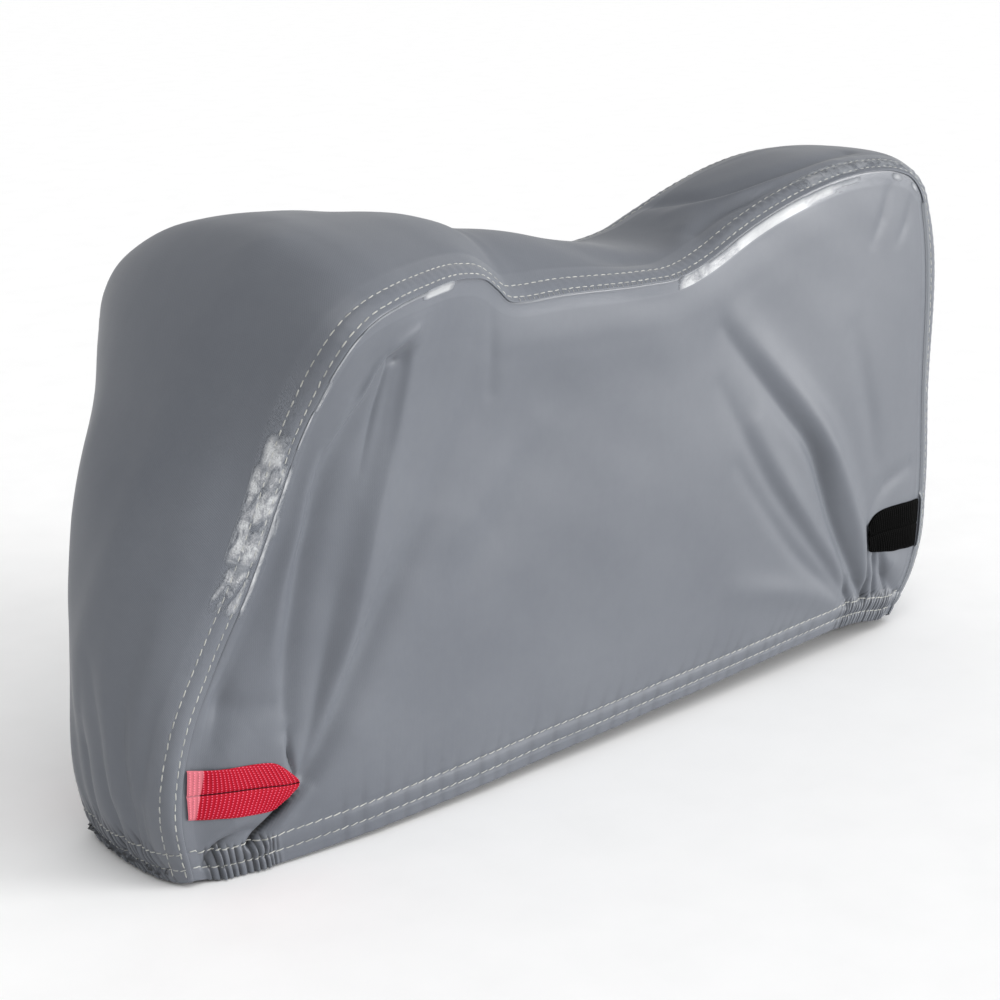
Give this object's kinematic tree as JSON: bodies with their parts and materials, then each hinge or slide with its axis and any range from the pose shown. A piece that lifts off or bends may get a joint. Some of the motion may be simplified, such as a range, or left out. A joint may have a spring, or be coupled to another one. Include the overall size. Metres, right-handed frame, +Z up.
{
  "type": "motorcycle cover",
  "caption": "Fitted, hollow, open-bottomed weather cover for a parked motorcycle, with a lapped and taped seam along each side and webbing loops low at front and rear.",
  "frame": {"origin": "middle of the bounding box, at the height of the lowest point of the hem", "axes": "+X towards the front, +Y to the left, +Z up"},
  "size_m": [2.0796, 0.6722, 1.0538],
  "materials": {
    "coated_cloth": "coated woven polyester, low sheen",
    "clear_tape": "clear, glossy, crinkled",
    "red_webbing": "ribbed webbing",
    "black_webbing": "ribbed webbing"
  },
  "bodies": {
    "root": {"centre_panel": "coated_cloth", "side_panel_left": "coated_cloth", "side_panel_right": "coated_cloth", "seam_tape_left": "clear_tape", "seam_tape_right": "clear_tape", "front_loop_left": "red_webbing", "front_loop_right": "red_webbing", "rear_loop_left": "black_webbing", "rear_loop_right": "black_webbing"}
  },
  "joints": []
}
